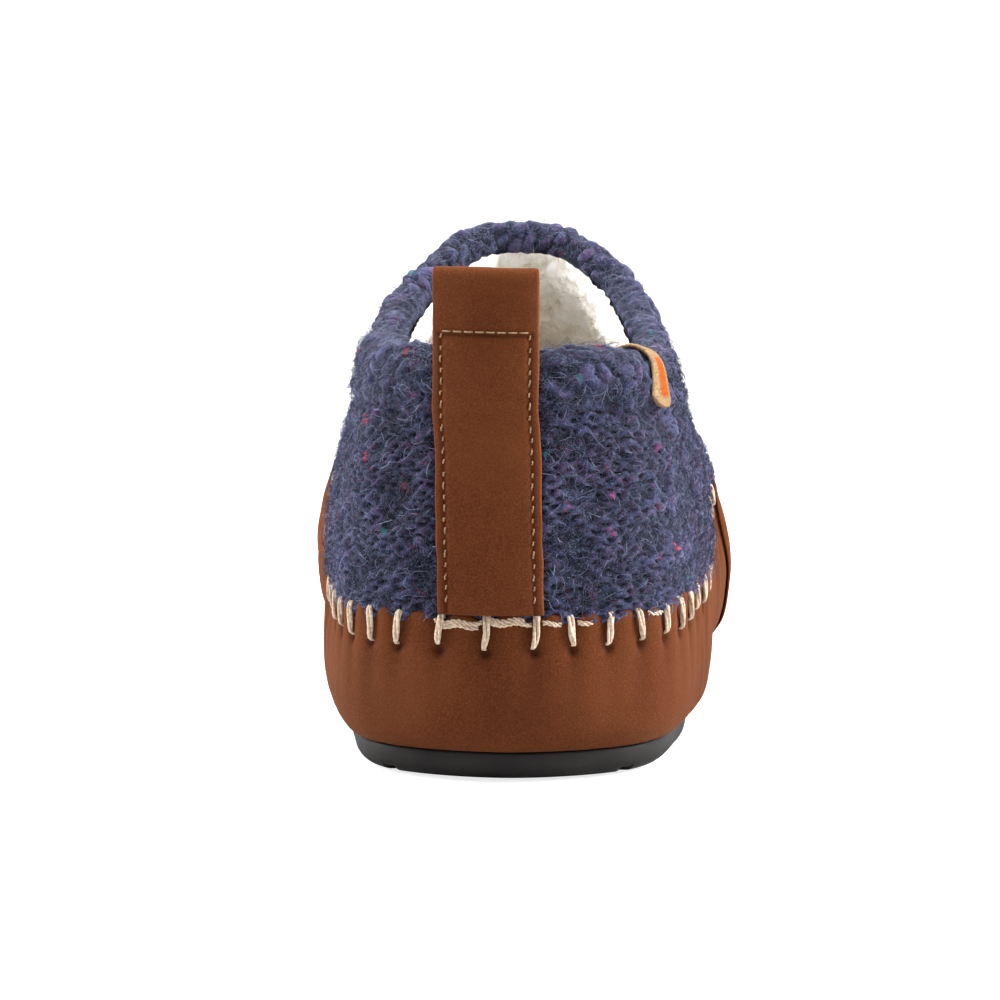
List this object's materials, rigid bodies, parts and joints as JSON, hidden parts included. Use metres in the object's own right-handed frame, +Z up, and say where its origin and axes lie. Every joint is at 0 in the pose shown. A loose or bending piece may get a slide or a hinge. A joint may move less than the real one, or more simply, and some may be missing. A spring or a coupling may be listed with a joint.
{
  "type": "knitted slipper",
  "caption": "Right knitted slipper with a rolled collar, a whip-stitched suede foxing and toe vamp, a heel pull tab, a fleece lining and a flat rubber sole.",
  "frame": {"origin": "bottom centre of the slipper's box, on the floor", "axes": "+Y from the heel to the toe, +X to the outer side of the right foot, +Z up"},
  "size_m": [0.0974, 0.2532, 0.1025],
  "materials": {
    "rubber": "satin",
    "suede": "napped",
    "knit": "felted knit",
    "fleece": "pile",
    "label": "woven"
  },
  "bodies": {
    "root": {"outsole": "rubber", "suede_foxing": "suede", "suede_vamp": "suede", "knit_upper": "knit", "footbed": "fleece", "pull_tab": "suede", "side_label": "label"}
  },
  "joints": []
}
